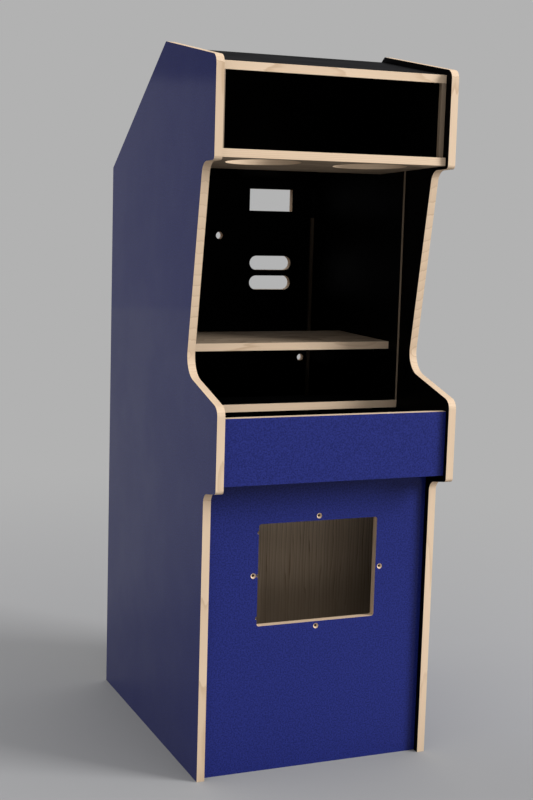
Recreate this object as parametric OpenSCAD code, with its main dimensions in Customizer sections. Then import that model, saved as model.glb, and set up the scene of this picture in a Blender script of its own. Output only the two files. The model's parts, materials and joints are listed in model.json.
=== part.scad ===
/* [Cabinet] */
// Width over both side panels
cabinet_w = 600; // [480:5:800]
// Thickness of the sheet that every panel is cut from
sheet_t = 19; // [15:0.5:22]
// Depth of the lower cabinet, from the front to the back edge of the sides
lower_depth = 750; // [650:5:900]
// Height of the back edge of the sides, where the hood begins to slope
back_h = 1420; // [1360:2:1480]

/* [Side profile] */
// Height of the straight lower front edge
lower_h = 684; // [620:2:720]
// How far the control nose stands out past the lower front edge
nose_reach = 78; // [60:1:120]
// Rise of the underside of the nose
nose_rise = 14; // [8:1:40]
// Height of the front edge of the nose
nose_h = 192; // [180:2:240]
// Setback of the knee behind the lower front edge
knee_setback = 135; // [100:1:170]
// Rise from the top of the nose to the knee
knee_rise = 56; // [50:1:100]
// Setback of the brow behind the lower front edge
brow_setback = 52; // [30:1:80]
// Height from the knee to the brow
screen_h = 481; // [440:1:520]
// How far the marquee edge stands out past the lower front edge
brow_reach = 21; // [10:1:60]
// Rise of the underside of the brow
brow_rise = 3; // [2:1:40]
// Height of the front edge of the marquee
marquee_h = 225; // [190:1:280]
// Length of the top edge of the sides, measured level
roof_len = 346; // [260:1:380]
// Rise of the top edge from the marquee to its back corner
roof_rise = 57; // [20:1:80]

/* [Rounded corners] */
// Radius in the notch under the nose
notch_r = 25; // [5:1:30]
// Radius at the lower corner of the nose
nose_low_r = 10; // [3:1:20]
// Radius at the upper corner of the nose
nose_top_r = 25; // [5:1:35]
// Radius at the knee
knee_r = 55; // [20:1:80]
// Radius under the brow
brow_r = 30; // [5:1:35]
// Radius at the lower corner of the marquee edge
marquee_low_r = 10; // [3:1:15]
// Radius at the upper corner of the marquee edge
marquee_top_r = 22; // [5:1:40]
// Radius at the back corner of the roof
roof_back_r = 10; // [3:1:30]

/* [Front panel] */
// Setback of the front panel behind the side edges
front_inset = 18; // [8:1:40]
// Width of the coin door cut-out
coin_w = 306; // [220:1:340]
// Height of the coin door cut-out
coin_h = 245; // [180:1:260]
// Height of the cut-out's lower edge above the floor
coin_sill_h = 356; // [250:1:380]
// Corner radius of the cut-out
coin_corner_r = 6; // [2:0.5:15]
// Distance of the screw holes from the edge of the cut-out
coin_hole_gap = 11.5; // [11:0.5:20]
// Radius of the coin door screw holes
coin_hole_r = 3.2; // [2:0.1:3.8]
// Radius of the countersink at the face
coin_sink_r = 6.5; // [4.5:0.1:6.5]
// Radius of the three notches for the coin door's hinge, in the left edge of the cut-out
coin_notch_r = 4; // [2:0.5:4.5]
// Distance of the outer notches from the corners of the cut-out
coin_notch_end = 20; // [12:1:60]

/* [Control box] */
// Setback of the control front behind the nose edge
control_inset = 13; // [5:1:25]
// Lift of the control box's floor above the lower corner of the nose
control_lift = 13; // [4:1:20]
// Height of the control front
control_h = 154; // [140:1:158]

/* [Inside] */
// Height of the base panel's underside above the floor
base_rise = 60; // [40:1:100]
// Clear depth of the coin compartment behind the front panel
vault_depth = 200; // [120:1:240]
// Setback of the bezel plane behind the knee
bezel_setback = 50; // [30:1:80]
// Drop of the bezel sill below the knee
sill_drop = 88; // [80:1:120]
// Depth of the bezel sill
sill_depth = 120; // [80:1:150]
// Setback of the monitor shelf behind the bezel plane
shelf_setback = 56; // [20:1:80]
// Lift of the shelf's front edge above the knee
shelf_lift = 54; // [0:1:60]
// Depth of the monitor shelf
shelf_depth = 290; // [200:1:320]
// Fall of the monitor shelf toward the back, in degrees
shelf_tilt = 0; // [0:0.5:8]
// Side of the square cleats
cleat_t = 19; // [15:0.5:25]

/* [Marquee] */
// Setback of the top panel behind the marquee edge
rail_inset = 25; // [10:1:30]
// Inset of the top and hood panels from the side edges
roof_inset = 13; // [6:1:25]
// Setback of the speaker panel behind the marquee edge
speaker_inset = 12; // [4:1:20]
// Lift of the speaker panel above the marquee's lower corner
speaker_lift = 7; // [2:1:20]
// Depth of the speaker panel
speaker_depth = 334; // [260:1:360]
// Fall of the speaker panel toward the back, in degrees
speaker_tilt = 3; // [1:0.5:8]
// Radius of the speaker openings
speaker_r = 88; // [45:1:92]
// Distance between the two speaker openings
speaker_spacing = 272; // [240:1:300]
// Setback of the speaker openings behind the panel's front edge
speaker_setback = 105; // [100:1:150]
// Side of the square marquee battens
marquee_batten_t = 12; // [8:0.5:20]

/* [Rear door] */
// Height of the fixed rail below the rear door
rail_h = 118; // [80:1:160]
// Gap around the rear door
door_gap = 2; // [1.5:0.1:3]
// Running gap between the door and its stops
stop_gap = 0.5; // [0.3:0.1:1]
// Side of the square battens that stop the door
stop_t = 9; // [8:0.5:13]
// Distance of the top of the upright stops below the header
stop_drop = 78; // [10:1:200]
// Height of the header batten that the door closes against
header_h = 16; // [12:1:22]
// Width of the rear window
window_w = 128; // [80:1:140]
// Height of the rear window
window_h = 60; // [40:1:64]
// Distance of the window from the top of the door
window_drop = 26; // [22:1:30]
// Distance of the window and slots from the right wall
window_side = 65; // [40:1:90]
// Length of the vent slots
slot_w = 124; // [80:1:140]
// Width of the vent slots
slot_h = 39; // [20:1:44]
// Distance of the upper slot's axis from the top of the door
slot_drop = 230; // [210:1:260]
// Distance between the axes of the two slots
slot_pitch = 55; // [48:1:80]
// Radius of the cable hole on the centre line
cable_r = 10; // [6:0.5:16]
// Distance of the cable hole from the top of the door
cable_drop = 156; // [130:1:180]
// Radius of the lock hole
lock_r = 9.5; // [7:0.5:12]
// Height of the lock hole above the floor
lock_h = 905; // [700:5:1000]
// Distance of the lock hole from the right wall
lock_side = 26; // [26:1:60]

/* [Hinges] */
// Length of each hinge
hinge_len = 75; // [60:1:100]
// Width of one hinge leaf
leaf_w = 13; // [11:0.5:14]
// Thickness of a hinge leaf
leaf_t = 1.6; // [1.2:0.1:2]
// Outer radius of the knuckles
knuckle_r = 3.2; // [3:0.1:4.5]
// Radius of the hinge pin
pin_r = 1.5; // [1:0.1:1.8]
// Distance of the outer hinges from the ends of the door
hinge_end = 150; // [90:1:250]

/* [Hidden] */

// Resolution of round parts and of the profile's corners
$fn = 64;
arc_steps = 16;
// Overshoot of a cut past the face it opens
cut = 1;
left = -1;
right = 1;

// Colours of the finishes
blue = [0.15, 0.17, 0.45];
black = [0.05, 0.05, 0.06];
birch = [0.89, 0.80, 0.69];
steel = [0.72, 0.72, 0.74];

// Room between the side panels
inner_w = cabinet_w - 2 * sheet_t;

// Corners of the side profile, as [y, z]; y = 0 is the lower front edge
nose_low = [-nose_reach, lower_h + nose_rise];
nose_top = nose_low + [0, nose_h];
knee = [knee_setback, nose_top[1] + knee_rise];
brow = [brow_setback, knee[1] + screen_h];
marquee_low = [-brow_reach, brow[1] + brow_rise];
marquee_top = marquee_low + [0, marquee_h];
roof_back = marquee_top + [roof_len, roof_rise];
back_top = [lower_depth, back_h];

// Heights and places that several panels share
front_y = front_inset;
front_back_y = front_y + sheet_t;
base_top_z = base_rise + sheet_t;
control_y = nose_low[0] + control_inset;
control_back_y = control_y + sheet_t;
floor_z = nose_low[1] + control_lift;
floor_top_z = floor_z + sheet_t;
vault_y = front_back_y + vault_depth;
vault_back_y = vault_y + sheet_t;
bezel_y = knee[0] + bezel_setback;
sill_top_z = knee[1] - sill_drop;
sill_z = sill_top_z - sheet_t;
shelf_front = [bezel_y + shelf_setback, knee[1] + shelf_lift];
speaker_front = marquee_low + [speaker_inset, speaker_lift];
top_front_y = marquee_top[0] + rail_inset;
coin_mid_z = coin_sill_h + coin_h / 2;

// Height at y of a line along a board that falls toward the back, d above the line from its start
function slope_z(start, fall, y, d) = start[1] - (y - start[0]) * tan(fall) + d / cos(fall);

// The roof rises toward the back, the hood falls from there, and their panels meet at hood_top_y
roof_run = roof_back - marquee_top;
roof_fall = -atan2(roof_run[1], roof_run[0]);
function roof_z(y, depth) = slope_z(roof_back, roof_fall, y, -depth);
hood_run = back_top - roof_back;
hood_fall = atan2(-hood_run[1], hood_run[0]);
function hood_z(y, depth) = slope_z(roof_back, hood_fall, y, -depth);
hood_top_y = roof_back[0]
  + roof_inset * (1 / cos(roof_fall) - 1 / cos(hood_fall)) / (tan(hood_fall) - tan(roof_fall));
hood_inner = roof_inset + sheet_t;

// The rear door and what it closes against
door_y = lower_depth - sheet_t;
door_low_z = rail_h + door_gap;
door_top_z = hood_z(lower_depth, roof_inset) - door_gap;
door_w = inner_w - 2 * door_gap;
stop_back_y = door_y - stop_gap;
stop_y = stop_back_y - stop_t;
header_z = hood_z(stop_back_y, hood_inner) - header_h;
window_mid_x = inner_w / 2 - window_side - window_w / 2;
slot_mid_x = inner_w / 2 - window_side - slot_w / 2;
slot_top_z = door_top_z - slot_drop;

// Hinge axis, knuckles and fasteners
hinge_x = -inner_w / 2 + door_gap / 2;
hinge_y = lower_depth + knuckle_r;
hinge_fit = 0.05;
hinge_end_gap = 0.3;
leaf_clear = 0.4;
knuckle_count = 3;
knuckle_len = hinge_len / knuckle_count;
pin_head_r = 2.6;
pin_head_h = 1.5;
leaf_gap = knuckle_r + leaf_clear;
leaf_screw_x = leaf_gap + leaf_w / 2;
leaf_screw_end = 14;
hinge_low_z = door_low_z + hinge_end;
hinge_high_z = door_top_z - hinge_end;
hinge_mids = [hinge_low_z, (hinge_low_z + hinge_high_z) / 2, hinge_high_z];
leaf_screw_zs = [for (z = hinge_mids, s = [-1, 1]) z + s * (hinge_len / 2 - leaf_screw_end)];
// Countersunk screws as [head radius, shank radius, length], and the clearance in their holes
leaf_screw = [3.2, 1.6, 14];
cleat_screw_bite = 13;
cleat_screw = [4, 2, cleat_t + cleat_screw_bite];
screw_fit = 0.05;
// Distance of a cleat's screws from its ends, and the least number of such steps in its length
screw_end = 35;
screw_steps = 4;

// The bodies stand about the middle of the cabinet's depth
mid_y = (hinge_y + knuckle_r - nose_reach) / 2;
module placed() translate([0, -mid_y, 0]) children();

// Point s along a board that falls toward the back, and d above its underside
function tilted(start, fall, s, d) =
  start + s * [cos(fall), -sin(fall)] + d * [sin(fall), cos(fall)];

// Centre lines of the cleats on one side wall, each from its first to its last end
half = cleat_t / 2;
// Glue line between a slanted board and the batten that carries it
glue_gap = 0.05;
front_line = [[front_back_y + half, base_top_z], [front_back_y + half, floor_z]];
base_line = [[front_back_y, base_rise - half], [door_y, base_rise - half]];
control_end = 12;
control_line = [
  [control_back_y + half, floor_top_z],
  [control_back_y + half, floor_z + control_h - control_end]
];
floor_line = [[front_back_y + cleat_t, floor_z - half], [vault_y, floor_z - half]];
vault_line = [[vault_back_y + half, base_top_z], [vault_back_y + half, floor_z]];
cleat_end = 10;
sill_line = [
  [bezel_y + cleat_end, sill_z - half],
  [bezel_y + sill_depth - cleat_end, sill_z - half]
];
shelf_line = [for (s = [cleat_end, shelf_depth - cleat_end])
  tilted(shelf_front, shelf_tilt, s, -sheet_t - half - glue_gap)];
speaker_line = [for (s = [rail_inset + 2 * marquee_batten_t, speaker_depth - cleat_end])
  tilted(speaker_front, speaker_tilt, s, sheet_t + half + glue_gap)];
roof_start = rail_inset + marquee_batten_t + cleat_end;
roof_line = [for (s = [roof_start, norm(roof_run) - 2 * cleat_end])
  tilted(marquee_top, roof_fall, s, -hood_inner - half - glue_gap)];
hood_end = 80;
hood_line = [for (s = [hood_end / 2, norm(hood_run) - hood_end])
  tilted(roof_back, hood_fall, s, -hood_inner - half - glue_gap)];
stop_mid_y = stop_y + stop_t / 2;
stop_line = [[stop_mid_y, base_top_z], [stop_mid_y, header_z - stop_drop]];
screwed_lines = [
  front_line, base_line, control_line, floor_line, vault_line, sill_line,
  shelf_line, speaker_line, roof_line, hood_line
];
function unit(v) = v / norm(v);
function spots(line) =
  let (len = norm(line[1] - line[0]), end = min(screw_end, len / screw_steps))
  [for (s = [end, len - end]) line[0] + unit(line[1] - line[0]) * s];
screw_spots = [for (line = screwed_lines, spot = spots(line)) spot];

// Rounding of one corner p between its neighbours a and b
function short_way(a) = a > 180 ? a - 360 : a < -180 ? a + 360 : a;
function arc(centre, r, start, sweep) = [
  for (i = [0 : arc_steps])
    let (angle = start + sweep * i / arc_steps)
    centre + r * [cos(angle), sin(angle)]
];
function corner(a, p, b, r) =
  let (
    u = unit(a - p),
    v = unit(b - p),
    half_angle = acos(u * v) / 2,
    centre = p + unit(u + v) * r / sin(half_angle),
    from = p + u * r / tan(half_angle) - centre,
    to = p + v * r / tan(half_angle) - centre,
    start = atan2(from[1], from[0])
  )
  arc(centre, r, start, short_way(atan2(to[1], to[0]) - start));

// The side profile, from the back of the floor edge round to the top of the back
profile = [
  [lower_depth, 0],
  [0, 0],
  each corner([0, 0], [0, lower_h], nose_low, notch_r),
  each corner([0, lower_h], nose_low, nose_top, nose_low_r),
  each corner(nose_low, nose_top, knee, nose_top_r),
  each corner(nose_top, knee, brow, knee_r),
  each corner(knee, brow, marquee_low, brow_r),
  each corner(brow, marquee_low, marquee_top, marquee_low_r),
  each corner(marquee_low, marquee_top, roof_back, marquee_top_r),
  each corner(marquee_top, roof_back, back_top, roof_back_r),
  back_top
];

// A [y, z] outline extruded along x from x0
module across(x0, width) translate([x0, 0, 0]) rotate([90, 0, 90]) linear_extrude(width) children();

// A board between the side walls, from its low to its high [y, z] corner
module board(low, high)
  translate([-inner_w / 2, low[0], low[1]]) cube([inner_w, high[0] - low[0], high[1] - low[1]]);

// The frame of one side wall: x = 0 on its inner face, with the room at negative x
module on_side(side) mirror([side == left ? 1 : 0, 0, 0]) translate([inner_w / 2, 0, 0]) children();

// A batten on a side wall along a centre line, so wide from the wall and so deep across
module batten(side, line, width, depth) {
  run = line[1] - line[0];
  on_side(side) translate([-width, line[0][0], line[0][1]]) rotate([atan2(run[1], run[0]), 0, 0])
    translate([0, 0, -depth / 2]) cube([width, norm(run), depth]);
}

// A countersunk wood screw that points along +z with its head flush at z = 0
module screw(size)
  rotate_extrude()
    polygon([
      [0, 0], [size[0], 0], [size[1], size[0] - size[1]],
      [size[1], size[2]], [0, size[2]]
    ]);

// The hole that such a screw fills
module screw_hole(size) {
  grown = [size[0] + screw_fit, size[1] + screw_fit, size[2] + screw_fit];
  screw(grown);
}

module cleat_screw_places(side)
  on_side(side) for (spot = screw_spots)
    translate([-cleat_t, spot[0], spot[1]]) rotate([0, 90, 0]) children();

module cleat(side, line, finish) color(finish) placed() difference() {
  batten(side, line, cleat_t, cleat_t);
  cleat_screw_places(side) screw_hole(cleat_screw);
}

module leaf_screw_places(x)
  for (z = leaf_screw_zs)
    translate([hinge_x + x, lower_depth + leaf_t, z]) rotate([90, 0, 0]) children();

module side_panel(side) color(blue) placed() difference() {
  on_side(side) across(0, sheet_t) polygon(profile);
  cleat_screw_places(side) screw_hole(cleat_screw);
  leaf_screw_places(-leaf_screw_x) screw_hole(leaf_screw);
}
module left_side_panel() side_panel(left);
module right_side_panel() side_panel(right);

module base_panel() color(birch) placed() board([front_back_y, base_rise], [door_y, base_top_z]);

module rounded_slot(width, height, r)
  translate([-width / 2, -height / 2])
    polygon([
      each arc([r, r], r, 180, 90),
      each arc([width - r, r], r, 270, 90),
      each arc([width - r, height - r], r, 0, 90),
      each arc([r, height - r], r, 90, 90)
    ]);

// A flat shape in x and z, cut along y through a board of one sheet
module cut_through(y, x, z)
  translate([x, y + sheet_t + cut, z]) rotate([90, 0, 0])
    linear_extrude(sheet_t + 2 * cut) children();

// A round hole along y, from y over a length
module bore_y(x, y, z, r, len) translate([x, y, z]) rotate([-90, 0, 0]) cylinder(r = r, h = len);

coin_hole_spots = [
  [coin_w / 2 + coin_hole_gap, 0], [-coin_w / 2 - coin_hole_gap, 0],
  [0, coin_h / 2 + coin_hole_gap], [0, -coin_h / 2 - coin_hole_gap]
];
coin_notch_rise = coin_h / 2 - coin_notch_end;
module front_panel() color(blue) placed() difference() {
  board([front_y, 0], [front_back_y, floor_z]);
  cut_through(front_y, 0, coin_mid_z) rounded_slot(coin_w, coin_h, coin_corner_r);
  for (spot = coin_hole_spots) {
    bore_y(spot[0], front_y - cut, coin_mid_z + spot[1], coin_hole_r, sheet_t + 2 * cut);
    translate([spot[0], front_y, coin_mid_z + spot[1]]) rotate([-90, 0, 0])
      cylinder(r1 = coin_sink_r, r2 = coin_hole_r, h = coin_sink_r - coin_hole_r);
  }
  for (rise = [-coin_notch_rise, 0, coin_notch_rise])
    bore_y(-coin_w / 2, front_y - cut, coin_mid_z + rise, coin_notch_r, sheet_t + 2 * cut);
}

module control_front() color(blue) placed()
  board([control_y, floor_z], [control_back_y, floor_z + control_h]);
module control_floor() color(black) placed()
  board([control_back_y, floor_z], [vault_back_y + cleat_t, floor_top_z]);
module vault_panel() color(birch) placed() board([vault_y, base_top_z], [vault_back_y, floor_z]);
module bezel_sill() color(black) placed()
  board([bezel_y, sill_z], [bezel_y + sill_depth, sill_top_z]);

module monitor_shelf() color(birch) placed()
  translate([0, shelf_front[0], shelf_front[1]]) rotate([-shelf_tilt, 0, 0])
    board([0, -sheet_t], [shelf_depth, 0]);

module on_speaker_panel()
  translate([0, speaker_front[0], speaker_front[1]]) rotate([-speaker_tilt, 0, 0]) children();
module speaker_panel() color(birch) placed() on_speaker_panel() difference() {
  board([0, 0], [speaker_depth, sheet_t]);
  for (side = [left, right])
    translate([side * speaker_spacing / 2, speaker_setback, -cut])
      cylinder(r = speaker_r, h = sheet_t + 2 * cut);
}

// Outline of a sheet that lies under a sloping edge of the sides, from y0 to y1
function under_edge(fall, y0, y1) = [
  [y0, slope_z(roof_back, fall, y0, -roof_inset)], [y1, slope_z(roof_back, fall, y1, -roof_inset)],
  [y1, slope_z(roof_back, fall, y1, -hood_inner)], [y0, slope_z(roof_back, fall, y0, -hood_inner)]
];
module top_panel() color(black) placed()
  across(-inner_w / 2, inner_w) polygon(under_edge(roof_fall, top_front_y, hood_top_y));
module hood_panel() color(black) placed()
  across(-inner_w / 2, inner_w) polygon(under_edge(hood_fall, hood_top_y, stop_back_y));

module rear_rail() color(black) placed() board([door_y, 0], [lower_depth, rail_h]);

module door_header() color(black) placed() {
  under_hood = hood_inner + glue_gap;
  across(-inner_w / 2, inner_w)
    polygon([
      [stop_y, header_z], [stop_back_y, header_z],
      [stop_back_y, hood_z(stop_back_y, under_hood)], [stop_y, hood_z(stop_y, under_hood)]
    ]);
}

module rear_door() color(black) placed() difference() {
  translate([-door_w / 2, door_y, door_low_z]) cube([door_w, sheet_t, door_top_z - door_low_z]);
  cut_through(door_y, window_mid_x, door_top_z - window_drop - window_h / 2)
    square([window_w, window_h], center = true);
  for (row = [0, 1])
    cut_through(door_y, slot_mid_x, slot_top_z - row * slot_pitch)
      rounded_slot(slot_w, slot_h, slot_h / 2);
  bore_y(0, door_y - cut, door_top_z - cable_drop, cable_r, sheet_t + 2 * cut);
  bore_y(inner_w / 2 - lock_side, door_y - cut, lock_h, lock_r, sheet_t + 2 * cut);
  leaf_screw_places(leaf_screw_x) screw_hole(leaf_screw);
}

module front_cleat_left() cleat(left, front_line, black);
module front_cleat_right() cleat(right, front_line, black);
module base_cleat_left() cleat(left, base_line, birch);
module base_cleat_right() cleat(right, base_line, birch);
module control_cleat_left() cleat(left, control_line, black);
module control_cleat_right() cleat(right, control_line, black);
module floor_cleat_left() cleat(left, floor_line, black);
module floor_cleat_right() cleat(right, floor_line, black);
module vault_cleat_left() cleat(left, vault_line, birch);
module vault_cleat_right() cleat(right, vault_line, birch);
module sill_cleat_left() cleat(left, sill_line, black);
module sill_cleat_right() cleat(right, sill_line, black);
module shelf_cleat_left() cleat(left, shelf_line, black);
module shelf_cleat_right() cleat(right, shelf_line, black);
module speaker_cleat_left() cleat(left, speaker_line, black);
module speaker_cleat_right() cleat(right, speaker_line, black);
module roof_cleat_left() cleat(left, roof_line, black);
module roof_cleat_right() cleat(right, roof_line, black);
module hood_cleat_left() cleat(left, hood_line, black);
module hood_cleat_right() cleat(right, hood_line, black);

// Slim upright batten in the rear corner, glued to the wall, that the door closes against
module door_stop(side) color(birch) placed() batten(side, stop_line, stop_t, stop_t);
module door_stop_left() door_stop(left);
module door_stop_right() door_stop(right);

module cleat_screws(side) color(steel) placed() cleat_screw_places(side) screw(cleat_screw);
module cleat_screws_left() cleat_screws(left);
module cleat_screws_right() cleat_screws(right);

// Upright batten that the marquee sheet is held against, cut to the slopes of the speaker and top panels
module marquee_batten(side) color(birch) placed() {
  back_y = top_front_y + marquee_batten_t;
  under_roof = hood_inner + glue_gap;
  on_side(side) across(-marquee_batten_t, marquee_batten_t)
    polygon([
      [top_front_y, slope_z(speaker_front, speaker_tilt, top_front_y, sheet_t)],
      [back_y, slope_z(speaker_front, speaker_tilt, back_y, sheet_t)],
      [back_y, roof_z(back_y, under_roof)], [top_front_y, roof_z(top_front_y, under_roof)]
    ]);
}
module marquee_batten_left() marquee_batten(left);
module marquee_batten_right() marquee_batten(right);

// Thin strip on the wall that the bezel stands against, from the sill to the speaker panel
bezel_stop_w = 4;
bezel_stop_d = 3;
module bezel_stop(side) color(birch) placed() {
  back_y = bezel_y + bezel_stop_d;
  on_side(side) across(-bezel_stop_w, bezel_stop_w)
    polygon([
      [bezel_y, sill_top_z], [back_y, sill_top_z],
      [back_y, slope_z(speaker_front, speaker_tilt, back_y, 0)],
      [bezel_y, slope_z(speaker_front, speaker_tilt, bezel_y, 0)]
    ]);
}
module bezel_stop_left() bezel_stop(left);
module bezel_stop_right() bezel_stop(right);

// One hinge half about the pin axis: its plate on the given side, and knuckles at the given thirds
module hinge_half(side, thirds) difference() {
  union() {
    translate([side == left ? -leaf_gap - leaf_w : leaf_gap, -knuckle_r, -hinge_len / 2])
      cube([leaf_w, leaf_t, hinge_len]);
    for (third = thirds)
      translate([0, 0, third * knuckle_len - knuckle_len / 2 + hinge_end_gap / 2]) {
        cylinder(r = knuckle_r, h = knuckle_len - hinge_end_gap);
        translate([side == left ? -leaf_gap - cut : 0, -knuckle_r, 0])
          cube([leaf_gap + cut, leaf_t, knuckle_len - hinge_end_gap]);
      }
  }
  translate([0, 0, -hinge_len]) cylinder(r = pin_r + hinge_fit, h = 2 * hinge_len);
}
module hinge_places() for (z = hinge_mids) translate([hinge_x, hinge_y, z]) children();

module hinge_frame_leaves() color(steel) placed() difference() {
  hinge_places() hinge_half(left, [-1, 1]);
  leaf_screw_places(-leaf_screw_x) screw_hole(leaf_screw);
}
module hinge_door_leaves() color(steel) placed() difference() {
  hinge_places() hinge_half(right, [0]);
  leaf_screw_places(leaf_screw_x) screw_hole(leaf_screw);
}
module hinge_pins() color(steel) placed() hinge_places() {
  translate([0, 0, -hinge_len / 2]) cylinder(r = pin_r, h = hinge_len);
  translate([0, 0, hinge_len / 2 - hinge_end_gap / 2]) cylinder(r = pin_head_r, h = pin_head_h);
}
module hinge_frame_screws() color(steel) placed() leaf_screw_places(-leaf_screw_x) screw(leaf_screw);
module hinge_door_screws() color(steel) placed() leaf_screw_places(leaf_screw_x) screw(leaf_screw);

left_side_panel();
right_side_panel();
base_panel();
front_panel();
control_front();
control_floor();
vault_panel();
bezel_sill();
monitor_shelf();
speaker_panel();
top_panel();
hood_panel();
rear_rail();
door_header();
rear_door();
front_cleat_left();
front_cleat_right();
base_cleat_left();
base_cleat_right();
control_cleat_left();
control_cleat_right();
floor_cleat_left();
floor_cleat_right();
vault_cleat_left();
vault_cleat_right();
sill_cleat_left();
sill_cleat_right();
shelf_cleat_left();
shelf_cleat_right();
speaker_cleat_left();
speaker_cleat_right();
roof_cleat_left();
roof_cleat_right();
hood_cleat_left();
hood_cleat_right();
door_stop_left();
door_stop_right();
marquee_batten_left();
marquee_batten_right();
bezel_stop_left();
bezel_stop_right();
cleat_screws_left();
cleat_screws_right();
hinge_frame_leaves();
hinge_door_leaves();
hinge_pins();
hinge_frame_screws();
hinge_door_screws();
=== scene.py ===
# %% [markdown]
# # Dressing an arcade cabinet shell
# The cabinet is a bare shell: boards with a blue laminate outside, a black one inside, and sawn edges that
# show pale birch. Its solids already have every real size, so this lesson only gives them eased edges,
# finishes, fasteners and light. The solids load as a fixed frame, and every new piece stands where one was.

# %% Load the frame
import json
import math

import bmesh
import bpy
from mathutils import Matrix, Vector

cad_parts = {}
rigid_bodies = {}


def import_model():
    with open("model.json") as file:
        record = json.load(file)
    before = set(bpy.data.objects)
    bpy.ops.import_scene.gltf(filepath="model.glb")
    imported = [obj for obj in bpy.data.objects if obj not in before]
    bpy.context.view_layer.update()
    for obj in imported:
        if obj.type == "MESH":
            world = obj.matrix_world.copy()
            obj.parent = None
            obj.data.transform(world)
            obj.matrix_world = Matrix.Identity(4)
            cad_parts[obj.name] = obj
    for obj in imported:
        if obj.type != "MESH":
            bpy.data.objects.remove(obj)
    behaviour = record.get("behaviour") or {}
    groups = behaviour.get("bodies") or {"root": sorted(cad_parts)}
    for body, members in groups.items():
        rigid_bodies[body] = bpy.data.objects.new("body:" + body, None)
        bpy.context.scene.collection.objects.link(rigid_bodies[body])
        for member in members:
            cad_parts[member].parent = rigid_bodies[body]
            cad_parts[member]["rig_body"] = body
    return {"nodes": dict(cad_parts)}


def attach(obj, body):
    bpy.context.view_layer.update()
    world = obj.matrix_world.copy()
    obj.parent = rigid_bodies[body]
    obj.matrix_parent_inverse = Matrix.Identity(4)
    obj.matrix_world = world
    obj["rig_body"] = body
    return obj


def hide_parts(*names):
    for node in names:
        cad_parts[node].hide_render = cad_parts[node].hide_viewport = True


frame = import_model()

scene = bpy.context.scene
scene.view_settings.view_transform = "Standard"
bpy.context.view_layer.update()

# %% [markdown]
# ## The camera
# The picture was taken from the cabinet's front left, a little above its screen opening, with a long lens.
# A camera can be aimed by a constraint, but a lean of the horizon is hard to give that way. Here its three
# axes are worked out from a turn, a dip and a lean, and go straight into its matrix.

# %% Camera
EYE = Vector((-1.3967, -3.3081, 1.3454))
TURN, DIP, LEAN = math.radians(22.752), math.radians(7.966), math.radians(1.664)
LENS_MM, SENSOR_MM = 64.16, 36.0

ahead = Vector((math.sin(TURN) * math.cos(DIP), math.cos(TURN) * math.cos(DIP), -math.sin(DIP)))
level = Vector((math.cos(TURN), -math.sin(TURN), 0.0))
upward = level.cross(ahead)
right = level * math.cos(LEAN) + upward * math.sin(LEAN)
top = upward * math.cos(LEAN) - level * math.sin(LEAN)

camera = bpy.data.objects.new("camera", bpy.data.cameras.new("camera"))
scene.collection.objects.link(camera)
camera.data.sensor_width = SENSOR_MM
camera.data.lens = LENS_MM
camera.matrix_world = Matrix.Translation(EYE) @ Matrix((right, top, -ahead)).transposed().to_4x4()
scene.camera = camera
print("camera at", [round(part, 3) for part in EYE], "lens", LENS_MM, "mm")

# %% [markdown]
# ## Small helpers for node trees
# Shader trees get long when every node takes four lines. These helpers place one node each, and take either
# a plain number or another node's output for an input, so that a recipe below reads like a sentence.

# %% Sums and places
def feed(tree, socket, value):
    """Link a socket to another node's output, or set it where the value is plain."""
    if isinstance(value, bpy.types.NodeSocket):
        tree.links.new(value, socket)
    else:
        socket.default_value = value


def calc(tree, operation, *values):
    """One step of arithmetic."""
    node = tree.nodes.new("ShaderNodeMath")
    node.operation = operation
    for socket, value in zip(node.inputs, values):
        feed(tree, socket, value)
    return node.outputs[0]


def stretched(tree, place, scale):
    """A place multiplied axis by axis, which squeezes or draws out a texture."""
    node = tree.nodes.new("ShaderNodeVectorMath")
    node.operation = "MULTIPLY"
    feed(tree, node.inputs[0], place)
    node.inputs[1].default_value = scale
    return node.outputs[0]


print("helpers for sums and places ready")

# %% Noise, soft steps and blends
NOISE_SPAN = (0.3, 0.7)  # nearly all values of a noise lie in here


def cloud(tree, place, scale=1.0, detail=2.0, roughness=0.5):
    """Smooth noise from 0 to 1."""
    node = tree.nodes.new("ShaderNodeTexNoise")
    feed(tree, node.inputs["Vector"], place)
    feed(tree, node.inputs["Scale"], scale)
    node.inputs["Detail"].default_value = detail
    node.inputs["Roughness"].default_value = roughness
    return node.outputs["Fac"]


def ease_between(tree, value, low, high, at_low=0.0, at_high=1.0):
    """A soft step from one value to another."""
    node = tree.nodes.new("ShaderNodeMapRange")
    node.interpolation_type = "SMOOTHSTEP"
    for socket, given in zip(node.inputs, (value, low, high, at_low, at_high)):
        feed(tree, socket, given)
    return node.outputs["Result"]


def mixed(tree, share, first, second):
    """One colour blended into another. A Mix node keeps its colours after its numbers and vectors."""
    node = tree.nodes.new("ShaderNodeMix")
    node.data_type = "RGBA"
    for index, given in ((0, share), (6, first), (7, second)):
        feed(tree, node.inputs[index], given)
    return node.outputs[2]


print("helpers for noise, steps and blends ready")

# %% Node groups
def new_group(name, inputs, outputs):
    """An empty node group with named sockets, its entry and its exit."""
    group = bpy.data.node_groups.new(name, "ShaderNodeTree")
    for label, kind in inputs.items():
        group.interface.new_socket(name=label, in_out="INPUT", socket_type="NodeSocket" + kind)
    for label, kind in outputs.items():
        group.interface.new_socket(name=label, in_out="OUTPUT", socket_type="NodeSocket" + kind)
    return group, group.nodes.new("NodeGroupInput").outputs, group.nodes.new("NodeGroupOutput").inputs


def use_group(tree, group, **values):
    """A group placed in a tree with its own values."""
    node = tree.nodes.new("ShaderNodeGroup")
    node.node_tree = group
    for label, value in values.items():
        feed(tree, node.inputs[label.replace("_", " ")], value)
    return node.outputs


print("helpers for node groups ready")

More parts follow.
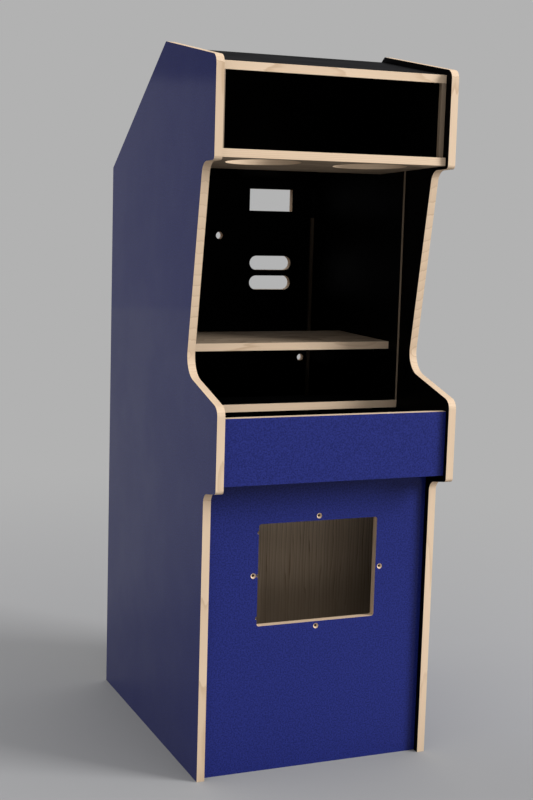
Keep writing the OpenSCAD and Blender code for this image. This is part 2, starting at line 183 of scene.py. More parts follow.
# %% [markdown]
# ## The studio
# A pale floor runs into a backdrop of the same grey, so no horizon shows. A curved sheet behind the cabinet
# could do that too, but its edge would show from other sides. The floor is a real disc that takes the shadow
# near the cabinet, and farther out it fades into the backdrop's own grey. Its paint is a little darker at the
# front right, which is a painted shadow at the front right of the cabinet. It throws more light back in front
# of the cabinet, as if a pale card lay there, and less beside it, so that the sides stay deep in colour. The
# world has three answers: the backdrop for the eye, a dome that is bright overhead and dim near the horizon
# for diffuse light, and for reflections a floor-like grey that turns dim a few degrees above the horizon,
# which is what the glossy side panel mirrors.

# %% World
BACKDROP = (0.445, 0.445, 0.445, 1.0)
LOW_LIGHT = (0.02, 0.02, 0.02, 1.0)
HIGH_LIGHT = (1.04, 1.04, 1.05, 1.0)
DOME_STEP = (0.26, 0.52)
MIRRORED_FLOOR = (0.375, 0.375, 0.41, 1.0)
MIRRORED_ROOM = (0.17, 0.17, 0.18, 1.0)
MIRROR_STEP = (0.074, 0.086)

world = bpy.data.worlds.new("studio")
scene.world = world
world.use_nodes = True
tree = world.node_tree
tree.nodes.clear()
direction = tree.nodes.new("ShaderNodeSeparateXYZ")
feed(tree, direction.inputs[0], tree.nodes.new("ShaderNodeTexCoord").outputs["Generated"])
height = direction.outputs["Z"]
rays = tree.nodes.new("ShaderNodeLightPath").outputs
mirrored = mixed(tree, ease_between(tree, height, *MIRROR_STEP), MIRRORED_FLOOR, MIRRORED_ROOM)
dome = mixed(tree, ease_between(tree, height, *DOME_STEP), LOW_LIGHT, HIGH_LIGHT)
unseen = mixed(tree, rays["Is Glossy Ray"], dome, mirrored)
eye_ray = calc(tree, "MAXIMUM", rays["Is Camera Ray"], rays["Is Transmission Ray"])
sky = tree.nodes.new("ShaderNodeBackground")
feed(tree, sky.inputs["Color"], mixed(tree, eye_ray, unseen, BACKDROP))
feed(tree, tree.nodes.new("ShaderNodeOutputWorld").inputs["Surface"], sky.outputs[0])
print("world:", len(tree.nodes), "nodes")

# %% Floor disc
FLOOR_RADIUS, FLOOR_SIDES = 14.0, 128

floor_mesh = bpy.data.meshes.new("floor")
bm = bmesh.new()
bmesh.ops.create_circle(bm, cap_ends=True, radius=FLOOR_RADIUS, segments=FLOOR_SIDES)
bm.to_mesh(floor_mesh)
bm.free()
floor = bpy.data.objects.new("floor", floor_mesh)
scene.collection.objects.link(floor)
print("floor radius", FLOOR_RADIUS, "m")

# %% Floor paint
FLOOR_GREY = (0.338, 0.338, 0.342, 1.0)
FLOOR_GREY_WORN = (0.325, 0.325, 0.33, 1.0)
# Painted shadow: a darker floor grey for the front right of the cabinet.
FLOOR_SHADOW_GREY = (0.290, 0.290, 0.294, 1.0)
SIDE_BOUNCE = (0.09, 0.09, 0.09, 1.0)
FRONT_BOUNCE = (0.34, 0.34, 0.34, 1.0)
SHADOW_ACROSS, SHADOW_BACK = (-0.5, 0.5), (-0.75, -0.05)
BOUNCE_BACK = (-0.55, -0.36)
FLOOR_MOTTLES, FLOOR_ROUGHNESS, FLOOR_SHINE = 1.3, (0.75, 0.85), 0.1

floor_finish = bpy.data.materials.new("studio_floor")
floor_finish.use_nodes = True
floor_mesh.materials.append(floor_finish)
tree = floor_finish.node_tree
paint = tree.nodes["Principled BSDF"]
place = tree.nodes.new("ShaderNodeTexCoord").outputs["Object"]
rays = tree.nodes.new("ShaderNodeLightPath").outputs
seen = calc(tree, "MAXIMUM", rays["Is Camera Ray"], rays["Is Glossy Ray"])
seen = calc(tree, "MAXIMUM", seen, rays["Is Transmission Ray"])
mottle = cloud(tree, place, FLOOR_MOTTLES, 4.0)
axes = tree.nodes.new("ShaderNodeSeparateXYZ")
feed(tree, axes.inputs[0], place)
# This mask paints a shadow on the floor at the front right.
floor_shadow = calc(tree, "MULTIPLY", ease_between(tree, axes.outputs["X"], *SHADOW_ACROSS),
           ease_between(tree, axes.outputs["Y"], *SHADOW_BACK, 1.0, 0.0))
grey = mixed(tree, floor_shadow, mixed(tree, mottle, FLOOR_GREY, FLOOR_GREY_WORN), FLOOR_SHADOW_GREY)
bounce = mixed(tree, ease_between(tree, axes.outputs["Y"], *BOUNCE_BACK), FRONT_BOUNCE, SIDE_BOUNCE)
feed(tree, paint.inputs["Base Color"], mixed(tree, seen, bounce, grey))
feed(tree, paint.inputs["Roughness"], ease_between(tree, mottle, *NOISE_SPAN, *FLOOR_ROUGHNESS))
paint.inputs["Specular IOR Level"].default_value = FLOOR_SHINE
print("floor paint:", len(tree.nodes), "nodes")

# %% Floor fades into the backdrop
FADE_OUT = (0.9, 3.5)

distance = tree.nodes.new("ShaderNodeVectorMath")
distance.operation = "LENGTH"
feed(tree, distance.inputs[0], place)
far = tree.nodes.new("ShaderNodeEmission")
far.inputs["Color"].default_value = BACKDROP
fade = tree.nodes.new("ShaderNodeMixShader")
gone = ease_between(tree, distance.outputs["Value"], *FADE_OUT)
feed(tree, fade.inputs[0], calc(tree, "MULTIPLY", seen, gone))
feed(tree, fade.inputs[1], paint.outputs[0])
feed(tree, fade.inputs[2], far.outputs[0])
feed(tree, tree.nodes["Material Output"].inputs["Surface"], fade.outputs[0])
print("floor fades from", FADE_OUT[0], "to", FADE_OUT[1], "m")

# %% [markdown]
# ## The lamp
# The dome lights what looks up and leaves the inside of the shell dark. One tall lamp stands far off at the
# front right. It draws the short shade under the control box and the dark strip beside the right side panel,
# and from that far it lights all the edges alike, left and right, high and low. A sun would give hard edges.
# A near lamp would fall off too fast across the cabinet, and a wider one would shine into the coin
# compartment.

# %% Lamp
LAMP_PLACE, LAMP_AIM = Vector((11.0, -8.3, 6.8)), Vector((0.0, 0.0, 0.7))
LAMP_WIDE, LAMP_TALL, LAMP_WATTS = 5.4, 7.9, 2270.0

lamp = bpy.data.objects.new("front_lamp", bpy.data.lights.new("front_lamp", "AREA"))
scene.collection.objects.link(lamp)
lamp.data.shape = "RECTANGLE"
lamp.data.size, lamp.data.size_y = LAMP_WIDE, LAMP_TALL
lamp.data.energy = LAMP_WATTS
lamp.location = LAMP_PLACE
lamp.rotation_mode = "QUATERNION"
lamp.rotation_quaternion = (LAMP_AIM - LAMP_PLACE).to_track_quat("-Z", "Y")
print("lamp", LAMP_WATTS, "W at", [round(part, 2) for part in LAMP_PLACE])

# %% [markdown]
# ## Birch
# The sawn edges and the bare boards are one wood, cut from a solid-looking figure: thin growth layers that
# show as long streaks where the saw ran along them, and as fine brown lines where it crossed them. An image
# of wood would stretch round corners. A solid texture is cut just as real wood is, so each edge gets the
# streaks or lines that its direction should have. In the group, Z runs along the grain and Y across the
# growth layers.

# %% Growth lines
DRIFT, RIPPLE, PATCH = (5.0, 5.0, 1.5), (70.0, 70.0, 5.0), (4.0, 80.0, 1.2)
DRIFT_DEPTH = 0.026
SLOW_RISE, LATE_RISE, LATE_STEP, DROP_STEP = 0.40, 0.60, (0.84, 0.95), (0.96, 1.0)
PATCH_STEP, FAINTEST_LINE = (0.3, 0.6), 0.45


def growth_line(tree, place, layer, ripple):
    """A mask that darkens slowly through each growth layer, then fast, and drops at its end."""
    axes = tree.nodes.new("ShaderNodeSeparateXYZ")
    feed(tree, axes.inputs[0], place)
    drift = cloud(tree, stretched(tree, place, DRIFT))
    waves = cloud(tree, stretched(tree, place, RIPPLE))
    depth = calc(tree, "MULTIPLY_ADD", drift, DRIFT_DEPTH, axes.outputs["Y"])
    depth = calc(tree, "MULTIPLY_ADD", waves, ripple, depth)
    turn = calc(tree, "FRACT", calc(tree, "DIVIDE", depth, layer))
    slow = calc(tree, "MULTIPLY", turn, SLOW_RISE)
    rise = calc(tree, "MULTIPLY_ADD", ease_between(tree, turn, *LATE_STEP), LATE_RISE, slow)
    line = calc(tree, "MULTIPLY", rise, ease_between(tree, turn, *DROP_STEP, 1.0, 0.0))
    patch = cloud(tree, stretched(tree, place, PATCH))
    return calc(tree, "MULTIPLY", line, ease_between(tree, patch, *PATCH_STEP, FAINTEST_LINE, 1.0))


print("growth lines ready")

# %% Birch figure group
FIBRE, PORE, TONE = (600.0, 600.0, 9.0), (1500.0, 1500.0, 45.0), (16.0, 16.0, 1.8)
FIBRE_SHARE, PORE_SHARE, TONE_SHARE = 0.16, 0.10, 0.13
PORE_STEP, TONE_STEP = (0.62, 0.74), (0.35, 0.75)
PORE_SINK, LINE_SINK = -0.6, -0.3


def make_birch_figure():
    tree, given, made = new_group(
        "birch_figure",
        {"Place": "Vector", "Pale wood": "Color", "Late wood": "Color", "Layer": "Float", "Ripple": "Float",
         "Contrast": "Float"},
        {"Color": "Color", "Height": "Float"},
    )
    place = given["Place"]
    line = growth_line(tree, place, given["Layer"], given["Ripple"])
    fibre = cloud(tree, stretched(tree, place, FIBRE), detail=3.0)
    pore = ease_between(tree, cloud(tree, stretched(tree, place, PORE), detail=1.0), *PORE_STEP)
    tone = cloud(tree, stretched(tree, place, TONE), detail=3.0)
    share = calc(tree, "MULTIPLY", line, given["Contrast"])
    share = calc(tree, "MULTIPLY_ADD", ease_between(tree, tone, *TONE_STEP), TONE_SHARE, share)
    share = calc(tree, "MULTIPLY_ADD", fibre, FIBRE_SHARE, share)
    share = calc(tree, "MULTIPLY_ADD", pore, PORE_SHARE, share)
    feed(tree, made["Color"], mixed(tree, share, given["Pale wood"], given["Late wood"]))
    relief = calc(tree, "MULTIPLY_ADD", pore, PORE_SINK, fibre)
    feed(tree, made["Height"], calc(tree, "MULTIPLY_ADD", line, LINE_SINK, relief))
    return tree


birch_figure = make_birch_figure()
print("birch figure:", len(birch_figure.nodes), "nodes")

# %% [markdown]
# ## Birch finishes
# A board's grain follows its length, so the same figure is turned five ways: up the sides, across the rails,
# along the depth of the cleats, up the partition with its layers side by side, and across the flats of the
# rail and the shelf. Swapping the axes before the group costs two nodes, and rotating a whole object would
# move the board. The face veneer is browner and darker than the core, which is painted shade on the shelf's
# top and the rail's underside, and its figure is stronger. The slim battens are darkened as painted shade for
# the dim inside, and the door's stops darker still. The partition's wood is made paler, as painted light, and
# darker toward the base, as painted shade.

# %% Start of a material
def plain_start(name):
    """A new material, its tree, its Principled shader and the object's own places."""
    material = bpy.data.materials.new(name)
    material.use_nodes = True
    tree = material.node_tree
    place = tree.nodes.new("ShaderNodeTexCoord").outputs["Object"]
    return material, tree, tree.nodes["Principled BSDF"], place


def raise_surface(tree, shader, height, strength, rise):
    """Fine relief as a bump."""
    bump = tree.nodes.new("ShaderNodeBump")
    bump.inputs["Strength"].default_value = strength
    bump.inputs["Distance"].default_value = rise
    feed(tree, bump.inputs["Height"], height)
    feed(tree, shader.inputs["Normal"], bump.outputs[0])


print("material helpers ready")

# %% Birch recipe
PALE_WOOD = (0.775, 0.592, 0.418, 1.0)
LATE_WOOD = (0.52, 0.35, 0.21, 1.0)
# Painted shade: the brown toward which a board darkens near its base.
BASE_SHADE_BROWN = (0.20, 0.135, 0.08, 1.0)
BASE_SHADE_STEP = (0.28, 0.62)
LAYER_M, RIPPLE_M, LINE_CONTRAST = 0.0045, 0.0022, 0.6
WOOD_ROUGHNESS, WOOD_SHINE, WOOD_RELIEF = (0.72, 0.56), 0.3, (0.25, 0.0003)


def birch(name, axes, pale=PALE_WOOD, late=LATE_WOOD, layer=LAYER_M, ripple=RIPPLE_M,
          contrast=LINE_CONTRAST, base_shade=0.0):
    """Birch whose grain is turned by the order of its axes, painted darker toward its base as shade where a
    share is given.
    """
    material, tree, shader, place = plain_start(name)
    apart = tree.nodes.new("ShaderNodeSeparateXYZ")
    feed(tree, apart.inputs[0], place)
    turned = tree.nodes.new("ShaderNodeCombineXYZ")
    for socket, axis in zip(turned.inputs, axes):
        feed(tree, socket, apart.outputs[axis])
    wood = use_group(tree, birch_figure, Place=turned.outputs[0], Pale_wood=pale, Late_wood=late,
                     Layer=layer, Ripple=ripple, Contrast=contrast)
    colour = wood["Color"]
    # Painted shade: where a share is given, the board darkens toward its base.
    if base_shade:
        colour = mixed(tree, ease_between(tree, apart.outputs["Z"], *BASE_SHADE_STEP, base_shade, 0.0), colour, BASE_SHADE_BROWN)
    feed(tree, shader.inputs["Base Color"], colour)
    feed(tree, shader.inputs["Roughness"], ease_between(tree, wood["Height"], 0.0, 1.0, *WOOD_ROUGHNESS))
    shader.inputs["Specular IOR Level"].default_value = WOOD_SHINE
    raise_surface(tree, shader, wood["Height"], *WOOD_RELIEF)
    return material


print("birch recipe ready, growth layers of", LAYER_M * 1000, "mm")

# %% Birch materials
# Painted shade: the face veneer is darkened for the shelf's top and the rail's underside.
VENEER_SHADE_PALE = (0.45, 0.345, 0.244, 1.0)
VENEER_SHADE_LATE = (0.155, 0.106, 0.064, 1.0)
# Painted light: the partition's pale wood is lighter than plain birch.
PARTITION_LIT_PALE = (0.97, 0.775, 0.575, 1.0)
PARTITION_LATE = (0.42, 0.29, 0.18, 1.0)
# Painted shade: birch darkened for the battens in the dim inside.
SHADED_BATTEN_PALE = (0.32, 0.244, 0.172, 1.0)
SHADED_BATTEN_LATE = (0.20, 0.135, 0.08, 1.0)
# Painted shade, darker still: birch for the door's stops and the drilled bores.
DARK_SHADE_PALE = (0.13, 0.095, 0.065, 1.0)
DARK_SHADE_LATE = (0.07, 0.045, 0.025, 1.0)

birch_upright = birch("birch_upright", "XYZ")
birch_across = birch("birch_across", "ZYX")
birch_deep = birch("birch_deep", "XZY")
# The partition is painted paler as light, and darker toward its base as shade.
birch_partition = birch("birch_partition", "YXZ", PARTITION_LIT_PALE, PARTITION_LATE, layer=0.009, ripple=0.018,
                        contrast=1.2, base_shade=0.75)
birch_veneer_shade = birch("birch_veneer_shade", "YZX", VENEER_SHADE_PALE, VENEER_SHADE_LATE, ripple=0.012, contrast=1.2)
birch_rim = birch("birch_rim", "YZX", ripple=0.004)
# The batten and stop woods are birch darkened as painted shade.
birch_batten_shade = birch("birch_batten_shade", "XYZ", SHADED_BATTEN_PALE, SHADED_BATTEN_LATE)
birch_dark_shade = birch("birch_dark_shade", "XYZ", DARK_SHADE_PALE, DARK_SHADE_LATE)
# In this list, veneer, stained and stop are birch darkened as painted shade.
print("birch finishes: upright, across, deep, partition, veneer, rim, stained, stop")

# %% [markdown]
# ## Laminate
# The coloured sheet is a melamine film with a very fine stipple: up close the blue is a mass of slightly
# lighter and darker grains, and a clear skin over it mirrors the floor softly at a low angle. The stipple is
# one group, used by the blue and the black sheets. The clear skin is the shader's coat, because a rougher
# base under a smoother skin is just what the film is, and it is a little thicker on the lighter grains, so
# the stipple shows in what it mirrors too. The black of the outside is satin, and the inside is dead matt, so
# that nothing glints behind a screen.

# %% Laminate stipple group
STIPPLE_STEP = (0.34, 0.66)
STIPPLE_SHARE, BROAD_SHARE = 0.90, 0.10
BROAD_PATCHES, HAZE_PATCHES = 2.1, 5.0


def make_laminate_stipple():
    tree, given, made = new_group(
        "laminate_stipple",
        {"Place": "Vector", "Sheet": "Color", "Grain": "Color", "Grains per metre": "Float"},
        {"Color": "Color", "Height": "Float", "Haze": "Float", "Skin": "Float"},
    )
    place = given["Place"]
    grain = cloud(tree, place, given["Grains per metre"], 3.0, 0.6)
    stipple = ease_between(tree, grain, *STIPPLE_STEP)
    share = calc(tree, "MULTIPLY", stipple, STIPPLE_SHARE)
    share = calc(tree, "MULTIPLY_ADD", cloud(tree, place, BROAD_PATCHES), BROAD_SHARE, share)
    feed(tree, made["Color"], mixed(tree, share, given["Sheet"], given["Grain"]))
    feed(tree, made["Height"], grain)
    feed(tree, made["Haze"], cloud(tree, place, HAZE_PATCHES, 4.0, 0.6))
    feed(tree, made["Skin"], stipple)
    return tree


laminate_stipple = make_laminate_stipple()
print("laminate stipple:", len(laminate_stipple.nodes), "nodes")

# %% Laminate materials
BLUE_SHEET, BLUE_GRAIN = (0.0105, 0.0155, 0.112, 1.0), (0.0190, 0.0285, 0.210, 1.0)
BLACK_SHEET, BLACK_GRAIN = (0.0012, 0.0012, 0.0013, 1.0), (0.0030, 0.0030, 0.0032, 1.0)
MATT_SHEET, MATT_GRAIN = (0.0005, 0.0005, 0.0005, 1.0), (0.0013, 0.0013, 0.0014, 1.0)
BLUE_SHINE, BLACK_SHINE, MATT_SHINE = 0.05, 0.09, 0.025
GRAINS_PER_METRE = 280.0
FILM_ROUGHNESS, FILM_RELIEF = (0.46, 0.56), (0.2, 0.0002)
SKIN_THIN_THICK, SKIN_ROUGHNESS, SKIN_IOR = (0.43, 0.87), 0.06, 1.3


def laminate(name, sheet, grain, shine, skin=None):
    """A stippled film; skin gives the coat's weight on the dark and on the light grains."""
    material, tree, shader, place = plain_start(name)
    film = use_group(tree, laminate_stipple, Place=place, Sheet=sheet, Grain=grain,
                     Grains_per_metre=GRAINS_PER_METRE)
    feed(tree, shader.inputs["Base Color"], film["Color"])
    feed(tree, shader.inputs["Roughness"], ease_between(tree, film["Haze"], *NOISE_SPAN, *FILM_ROUGHNESS))
    shader.inputs["Specular IOR Level"].default_value = shine
    if skin:
        feed(tree, shader.inputs["Coat Weight"], ease_between(tree, film["Skin"], 0.0, 1.0, *skin))
        shader.inputs["Coat Roughness"].default_value = SKIN_ROUGHNESS
        shader.inputs["Coat IOR"].default_value = SKIN_IOR
    raise_surface(tree, shader, film["Height"], *FILM_RELIEF)
    return material


blue_laminate = laminate("blue_laminate_sheet", BLUE_SHEET, BLUE_GRAIN, BLUE_SHINE, SKIN_THIN_THICK)
black_laminate = laminate("black_laminate_sheet", BLACK_SHEET, BLACK_GRAIN, BLACK_SHINE)
matt_laminate = laminate("matt_laminate_sheet", MATT_SHEET, MATT_GRAIN, MATT_SHINE)
print("laminates: blue, black, matt black")

# %% [markdown]
# ## Zinc-plated steel
# The screws and hinges are plated steel: grey, slightly blotchy from the bath, and duller where the plating
# bloomed. A metal of one plain grey would look freshly polished, so the blotches change both colour and
# dullness. The screws in the cleats are blackened after plating, so that they vanish in the dark inside. Both
# share one group for the blotches.

# %% Plating bloom group
BATH_BLOTCHES, PITS = 260.0, 1800.0
BLOOM_STEP, DULL_STEP, DULLNESS = (0.42, 0.66), (0.35, 0.7), (0.28, 0.48)


def make_plating_bloom():
    tree, given, made = new_group(
        "plating_bloom",
        {"Place": "Vector", "Bright": "Color", "Bloom": "Color"},
        {"Color": "Color", "Dullness": "Float", "Height": "Float"},
    )
    bath = cloud(tree, given["Place"], BATH_BLOTCHES, 4.0, 0.6)
    bloom = ease_between(tree, bath, *BLOOM_STEP)
    feed(tree, made["Color"], mixed(tree, bloom, given["Bright"], given["Bloom"]))
    feed(tree, made["Dullness"], ease_between(tree, bath, *DULL_STEP, *DULLNESS))
    feed(tree, made["Height"], cloud(tree, given["Place"], PITS))
    return tree


plating_bloom = make_plating_bloom()
print("plating bloom:", len(plating_bloom.nodes), "nodes")

# %% Plated materials
ZINC_BRIGHT, ZINC_BLOOM = (0.62, 0.63, 0.65, 1.0), (0.46, 0.46, 0.45, 1.0)
BLACK_BRIGHT, BLACK_BLOOM = (0.035, 0.035, 0.037, 1.0), (0.022, 0.022, 0.022, 1.0)
PLATE_RELIEF = (0.15, 0.0001)


def plated(name, bright, bloom):
    material, tree, shader, place = plain_start(name)
    plate = use_group(tree, plating_bloom, Place=place, Bright=bright, Bloom=bloom)
    feed(tree, shader.inputs["Base Color"], plate["Color"])
    feed(tree, shader.inputs["Roughness"], plate["Dullness"])
    shader.inputs["Metallic"].default_value = 1.0
    raise_surface(tree, shader, plate["Height"], *PLATE_RELIEF)
    return material


zinc = plated("zinc_plate", ZINC_BRIGHT, ZINC_BLOOM)
black_zinc = plated("black_zinc_plate", BLACK_BRIGHT, BLACK_BLOOM)
print("plated finishes: zinc, black zinc")

# %% [markdown]
# ## Boards with eased edges
# A saw leaves a sharp edge, and a maker takes it off with a pass of fine paper. That tiny round catches light
# and is what makes a board look real. A Bevel modifier on the solid would also round the seams between its
# triangles, so the mesh is copied, its flats are joined first, and then only true edges are rounded. The film
# ends where a face turns into its round, so each face takes its finish from the way it looks.

# %% Eased edges
EDGE_ROUND, ROUND_STEPS = 0.0005, 2
SHARP, FLAT = math.radians(28.0), math.radians(0.15)
SAME_SPOT = 1e-6


def solid_of(node):
    """A copy of a solid's mesh: triangles welded, and those that lie in one plane joined."""
    bm = bmesh.new()
    bm.from_mesh(frame["nodes"][node].data)
    bmesh.ops.remove_doubles(bm, verts=bm.verts, dist=SAME_SPOT)
    bmesh.ops.dissolve_limit(bm, angle_limit=FLAT, verts=bm.verts, edges=bm.edges, delimit=set())
    return bm


def ease_edges(bm, width):
    """Round over every edge where two faces turn sharply, and clear away what shrank to nothing."""
    sharp = [edge for edge in bm.edges if len(edge.link_faces) == 2 and edge.calc_face_angle() > SHARP]
    bmesh.ops.bevel(bm, geom=sharp, offset=width, segments=ROUND_STEPS, profile=0.5, affect="EDGES",
                    clamp_overlap=True)
    bmesh.ops.dissolve_degenerate(bm, dist=SAME_SPOT, edges=bm.edges)


print("edges are eased by", EDGE_ROUND * 1000, "mm")

# %% A mesh in place of a solid
FLAT_WEIGHT = 100


def dressed(node, bm, materials):
    """Put a mesh in place of a node, on the node's own body, with smooth rounds and flat flats."""
    mesh = bpy.data.meshes.new(node + "_dressed")
    for face in bm.faces:
        face.smooth = True
    bm.to_mesh(mesh)
    bm.free()
    for material in materials:
        mesh.materials.append(material)
    piece = bpy.data.objects.new(node + "_dressed", mesh)
    scene.collection.objects.link(piece)
    piece.modifiers.new("flat_flats", "WEIGHTED_NORMAL").weight = FLAT_WEIGHT
    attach(piece, frame["nodes"][node]["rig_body"])
    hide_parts(node)
    return piece


def tell(piece):
    """Print what was made."""
    print(piece.name, len(piece.data.polygons), "faces")


print("pieces take the place and the body of their solids")

# %% Board helpers
FACING = math.cos(math.radians(32.0))
BARE_SIDE = 0.5  # an edge looks a way when it is within 60 degrees of it


def one_finish(node, finish, width=EDGE_ROUND):
    """A piece with the same finish all over."""
    bm = solid_of(node)
    ease_edges(bm, width)
    for face in bm.faces:
        face.material_index = 0
    return dressed(node, bm, [finish])


def filmed_board(node, face_film, back_film, edge_wood, outward=None, bare_toward=None):
    """A board with film on both faces and bare wood on its edges; outward points from back to face.
    Where bare_toward is given, only edges that look that way are bare and the others are taped."""
    bm = solid_of(node)
    if outward is None:
        outward = max(bm.faces, key=lambda face: face.calc_area()).normal.copy()
    outward = Vector(outward).normalized()
    ease_edges(bm, EDGE_ROUND)
    for face in bm.faces:
        lean = face.normal.dot(outward)
        taped = bare_toward is not None and face.normal.dot(Vector(bare_toward)) < BARE_SIDE
        face.material_index = 0 if lean > FACING else 1 if lean < -FACING or taped else 2
    return dressed(node, bm, [face_film, back_film, edge_wood])


print("board helpers ready")

# %% [markdown]
# ## Side panels
# Both sides are cut to one profile. Blue faces out, black faces in, and the long profile edge is the pale
# line that draws the cabinet. Its grain runs up the panel. The film could be painted through a mask, but a
# mask has to be unwrapped. Here each face of the mesh takes the finish of the way it looks, so the film stops
# cleanly at the edge's round.

# %% Side panels
for node, outward in (("left_side_panel", (-1, 0, 0)), ("right_side_panel", (1, 0, 0))):
    tell(filmed_board(node, blue_laminate, matt_laminate, birch_upright, outward))

# %% [markdown]
# ## Front panel and control front
# Two blue boards close the front. The upper one is the face of the control box. Its grain runs across, and
# only its top edge is left bare. The lower one has the coin door's cut-out and its four countersunk holes,
# whose cones show bare wood while their bores are painted dark as shade. A dark tube in each bore would be
# one more piece, so the faces close to a bore's axis take a darker wood instead, as painted shade.

# %% Front boards
FORWARD, BACKWARD, UP, DOWN = (0, -1, 0), (0, 1, 0), (0, 0, 1), (0, 0, -1)
tell(filmed_board("control_front", blue_laminate, matt_laminate, birch_across, FORWARD, UP))
front_panel = filmed_board("front_panel", blue_laminate, matt_laminate, birch_upright,
                           FORWARD)
tell(front_panel)

# %% Bores painted dark as shade
COIN_BORES = ((-0.1645, 0.4785), (0.1645, 0.4785), (0.0, 0.6125), (0.0, 0.3445))
BORE_RADIUS = 0.0033

# Painted shade: the faces in each bore take the darkest birch.
front_panel.data.materials.append(birch_dark_shade)
bore_shade = len(front_panel.data.materials) - 1
for face in front_panel.data.polygons:
    spot = Vector((face.center.x, face.center.z))
    if min((spot - Vector(bore)).length for bore in COIN_BORES) < BORE_RADIUS:
        face.material_index = bore_shade
print("burnt faces:", sum(face.material_index == bore_shade for face in front_panel.data.polygons))

# %% [markdown]
# ## Black boards
# The roof, the sloping hood, the floor of the control box, the fixed rail and the rear door are satin black
# outside and matt inside, and the sill behind the control box and the door's header are matt all over. Their
# edges are bare where they show. Long boards that lie across have their grain across. Each could be dressed
# by hand, but they differ only in which way they face, so a short table and one loop do for all.

# %% Black boards
HOOD_OUTWARD = (0, 0.57, 0.82)
for node, outward, edge_wood, bare_toward in (("top_panel", UP, birch_across, FORWARD),
                                              ("hood_panel", HOOD_OUTWARD, birch_across, DOWN),
                                              ("control_floor", DOWN, birch_across, DOWN),
                                              ("rear_rail", BACKWARD, birch_across, None),
                                              ("rear_door", BACKWARD, birch_upright, None)):
    tell(filmed_board(node, black_laminate, matt_laminate, edge_wood, outward, bare_toward))
for node in ("bezel_sill", "door_header"):
    tell(filmed_board(node, matt_laminate, matt_laminate, birch_across, None, FORWARD))

# %% [markdown]
# ## Bare boards
# The speaker rail, the monitor shelf, the partition behind the coin door and the base have no film at all.
# One wood all over would do for the partition and the base. The rail and the shelf show a browner face veneer
# on their flats, darkened as painted shade, and the pale core on their edges, so they are made like filmed
# boards whose film is wood.

# %% Bare boards
# The flats of the rail and the shelf take the veneer darkened as painted shade.
for node, edge_wood in (("speaker_panel", birch_rim), ("monitor_shelf", birch_across)):
    tell(filmed_board(node, birch_veneer_shade, birch_veneer_shade, edge_wood))
for node, wood in (("vault_panel", birch_partition), ("base_panel", birch_across)):
    tell(one_finish(node, wood))

# %% [markdown]
# ## Battens and cleats
# Battens stop the door, the marquee sheet and the bezel. Cleats hold the boards to the sides. Those inside
# the black space are wrapped in black film, and the ones near the coin door and the base are bare. A Mirror
# modifier could make the right ones from the left, but each has a solid of its own to stand for, so one loop
# runs over both sides.

# %% Battens and cleats
# The door stops, marquee battens and bezel stops take birch darkened as painted shade.
BARE_STICKS = {"door_stop": birch_dark_shade, "marquee_batten": birch_batten_shade, "bezel_stop": birch_batten_shade,
               "vault_cleat": birch_upright, "base_cleat": birch_deep}
FILMED_CLEATS = ("front", "control", "floor", "sill", "shelf", "speaker", "roof", "hood")
for side in ("_left", "_right"):
    for stick, wood in BARE_STICKS.items():
        one_finish(stick + side, wood)
    for cleat in FILMED_CLEATS:
        one_finish(cleat + "_cleat" + side, matt_laminate)
print(2 * len(BARE_STICKS), "bare and", 2 * len(FILMED_CLEATS), "filmed battens and cleats")

# %% [markdown]
# ## Screws
# Each screw is a countersunk wood screw with a cross recess. An Array modifier could repeat one, but the
# places follow no even step. So one is built here as a mesh, a recess of twelve points in the head, a cone
# and a plain shank, and the loose islands of each screw solid say where every screw goes. No place is written
# twice.

# %% Places of the screws
def islands_of(mesh):
    """The loose groups of points in a mesh, in the order of their first points."""
    bm = bmesh.new()
    bm.from_mesh(mesh)
    bmesh.ops.remove_doubles(bm, verts=bm.verts, dist=SAME_SPOT)
    reached, groups = set(), []
    for start in bm.verts:
        if start in reached:
            continue
        reached.add(start)
        front, group = [start], []
        while front:
            vert = front.pop()
            group.append(vert.co.copy())
            for edge in vert.link_edges:
                other = edge.other_vert(vert)
                if other not in reached:
                    reached.add(other)
                    front.append(other)
        groups.append(group)
    bm.free()
    return groups


def head_of(points, axis):
    """The middle of a screw's head, where its axis starts."""
    low = Vector([min(point[part] for point in points) for part in range(3)])
    high = Vector([max(point[part] for point in points) for part in range(3)])
    half = (high - low).dot(Vector(map(abs, axis))) / 2.0
    return (low + high) / 2.0 - Vector(axis) * half


print("screw places are read from the solids")

# %% Rings and crosses
HEAD_POINTS = 40


def ring(bm, radius, depth):
    """A round of points."""
    turns = [2.0 * math.pi * step / HEAD_POINTS for step in range(HEAD_POINTS)]
    return [bm.verts.new((radius * math.cos(turn), radius * math.sin(turn), depth)) for turn in turns]


def cross(bm, arm, half, depth):
    """The twelve corners of a cross."""
    corners = []
    for quarter in range(4):
        turn = Matrix.Rotation(quarter * math.pi / 2.0, 3, "Z")
        for corner in ((half, half, depth), (half, arm, depth), (-half, arm, depth)):
            corners.append(bm.verts.new(turn @ Vector(corner)))
    return corners


def bridge(bm, upper, lower):
    """A band of faces between two outlines."""
    for step, vert in enumerate(upper):
        after = (step + 1) % len(upper)
        bm.faces.new((vert, lower[step], lower[after], upper[after]))


print("outlines of", HEAD_POINTS, "points for heads and shanks")

# %% Screw builder
HEAD_PLAY, TIP_PLAY = 0.0001, 0.0002  # a screw stays this far inside its solid
TAPER, TIP = 1.6, 0.15  # shares of the shank's radius
RECESS_ARMS, RECESS_HALVES, RECESS_DEPTH = (0.56, 0.34), (0.13, 0.08), 0.42  # shares of the head's radius


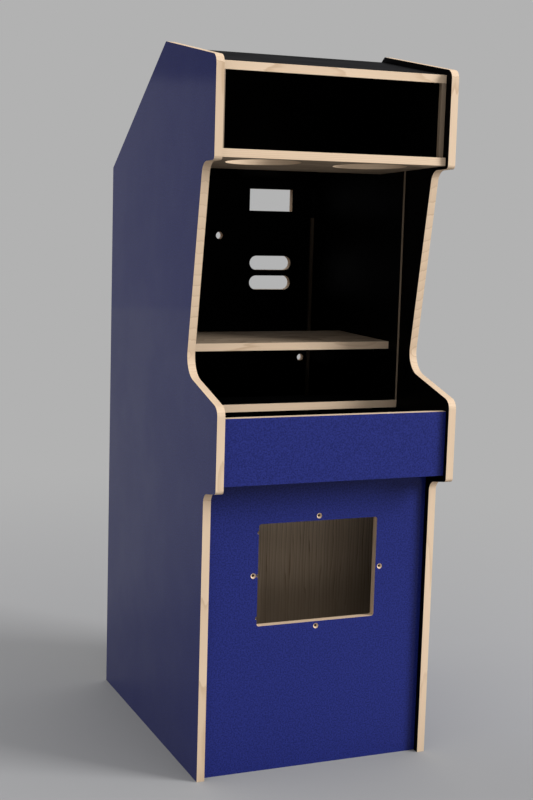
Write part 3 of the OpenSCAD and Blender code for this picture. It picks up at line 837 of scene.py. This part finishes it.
def add_screw(bm, head, shank, length, spot, axis):
    """A screw whose head is flush at spot and whose point lies along axis."""
    before = set(bm.verts)
    rim = ring(bm, head - HEAD_PLAY, 0.0)
    neck = ring(bm, shank, head - shank)
    end = ring(bm, shank, length - TAPER * shank)
    point = ring(bm, shank * TIP, length - TIP_PLAY)
    slot_top = cross(bm, RECESS_ARMS[0] * head, RECESS_HALVES[0] * head, 0.0)
    slot_low = cross(bm, RECESS_ARMS[1] * head, RECESS_HALVES[1] * head, RECESS_DEPTH * head)
    for upper, lower in ((rim, neck), (neck, end), (end, point), (slot_low, slot_top)):
        bridge(bm, upper, lower)
    bm.faces.new(point)
    bm.faces.new(slot_low)
    loops = []
    for loop in (rim, slot_top):
        loops += [bm.edges.get((vert, loop[(step + 1) % len(loop)])) for step, vert in enumerate(loop)]
    bmesh.ops.triangle_fill(bm, edges=loops, use_beauty=True, use_dissolve=False)
    made = [vert for vert in bm.verts if vert not in before]
    turn = Vector(axis).to_track_quat("Z", "Y").to_matrix().to_4x4()
    bmesh.ops.transform(bm, matrix=Matrix.Translation(spot) @ turn, verts=made)


print("screw builder ready")

# %% Screws
CLEAT_SCREW = (0.004, 0.002, 0.032)  # radius of head, radius of shank, length
LEAF_SCREW = (0.0032, 0.0016, 0.014)
for node, size, axis, plate in (("cleat_screws_left", CLEAT_SCREW, (-1, 0, 0), black_zinc),
                                ("cleat_screws_right", CLEAT_SCREW, (1, 0, 0), black_zinc),
                                ("hinge_frame_screws", LEAF_SCREW, FORWARD, zinc),
                                ("hinge_door_screws", LEAF_SCREW, FORWARD, zinc)):
    bm = bmesh.new()
    groups = islands_of(frame["nodes"][node].data)
    for points in groups:
        add_screw(bm, *size, head_of(points, axis), axis)
    bmesh.ops.recalc_face_normals(bm, faces=bm.faces)
    piece = dressed(node, bm, [plate])
    piece.data.polygons.foreach_set("use_smooth", [False] * len(piece.data.polygons))
    print(piece.name, len(groups), "screws")

# %% [markdown]
# ## Hinges
# Three butt hinges carry the rear door. Their leaves are pressed sheet with rolled knuckles, and the pin
# shows at each end. They could be built anew, but the solids have these shapes already, so they only need
# softened edges and plating.

# %% Hinges
LEAF_ROUND = 0.0002
for node in ("hinge_frame_leaves", "hinge_door_leaves", "hinge_pins"):
    tell(one_finish(node, zinc, LEAF_ROUND))
